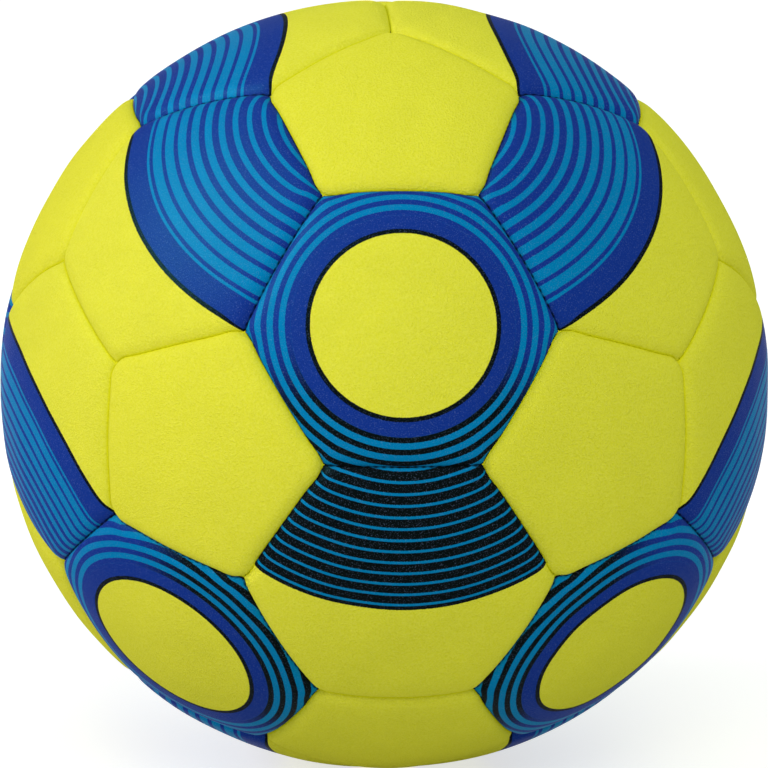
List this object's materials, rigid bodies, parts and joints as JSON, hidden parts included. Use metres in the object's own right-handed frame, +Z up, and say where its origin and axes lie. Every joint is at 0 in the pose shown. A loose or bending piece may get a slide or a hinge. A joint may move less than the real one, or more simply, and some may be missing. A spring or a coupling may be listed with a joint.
{
  "type": "indoor soccer ball",
  "caption": "Stitched round ball for indoor soccer, with felt-like hexagonal and pentagonal panels over foam, lining and an air bladder with a removable needle valve core.",
  "frame": {"origin": "centre of the ball", "axes": "+Z up through the middle of a seam between two hexagons; the pictured front faces -Y"},
  "size_m": [0.22, 0.22, 0.22],
  "materials": {
    "cover_plain": "soft felt-like microfibre, fine grain, faint sheen, plain yellow",
    "cover_window": "soft felt-like microfibre, fine grain, faint sheen, yellow window in a printed blue frame",
    "cover_striped": "soft felt-like microfibre, fine grain, faint sheen, half printed blue with cyan stripes",
    "cover_dark": "soft felt-like microfibre, fine grain, faint sheen, half printed black with cyan stripes",
    "foam": "fine closed-cell foam",
    "lining": "plain woven polyester cotton",
    "thread": "waxed polyester thread",
    "bladder": "dusted butyl rubber",
    "patch": "woven patch",
    "valve_rubber": "moulded rubber",
    "valve_core_rubber": "moulded rubber, slightly shiny"
  },
  "bodies": {
    "ball": {"hex_panel_01": "cover_window", "hex_panel_02": "cover_striped", "hex_panel_03": "cover_striped", "hex_panel_04": "cover_window", "hex_panel_05": "cover_window", "hex_panel_06": "cover_striped", "hex_panel_07": "cover_striped", "hex_panel_08": "cover_window", "hex_panel_09": "cover_dark", "hex_panel_10": "cover_striped", "hex_panel_11": "cover_striped", "hex_panel_12": "cover_window", "hex_panel_13": "cover_striped", "hex_panel_14": "cover_striped", "hex_panel_15": "cover_window", "hex_panel_16": "cover_striped", "hex_panel_17": "cover_striped", "hex_panel_18": "cover_dark", "hex_panel_19": "cover_striped", "hex_panel_20": "cover_striped", "pent_panel_01": "cover_plain", "pent_panel_02": "cover_plain", "pent_panel_03": "cover_plain", "pent_panel_04": "cover_plain", "pent_panel_05": "cover_plain", "pent_panel_06": "cover_plain", "pent_panel_07": "cover_plain", "pent_panel_08": "cover_plain", "pent_panel_09": "cover_plain", "pent_panel_10": "cover_plain", "pent_panel_11": "cover_plain", "pent_panel_12": "cover_plain", "hex_foam_backing": "foam", "pent_foam_backing": "foam", "hex_lining": "lining", "pent_lining": "lining", "hex_seam_thread": "thread", "pent_seam_thread": "thread", "bladder": "bladder", "valve_patch": "patch", "valve_housing": "valve_rubber"},
    "valve_core": {"valve_core": "valve_core_rubber"}
  },
  "joints": [
    {"name": "valve_core_pull", "type": "slide", "parent": "ball", "child": "valve_core", "axis": [-0.5774, 0.5774, 0.5774], "range_m": [0, 0.014]}
  ]
}
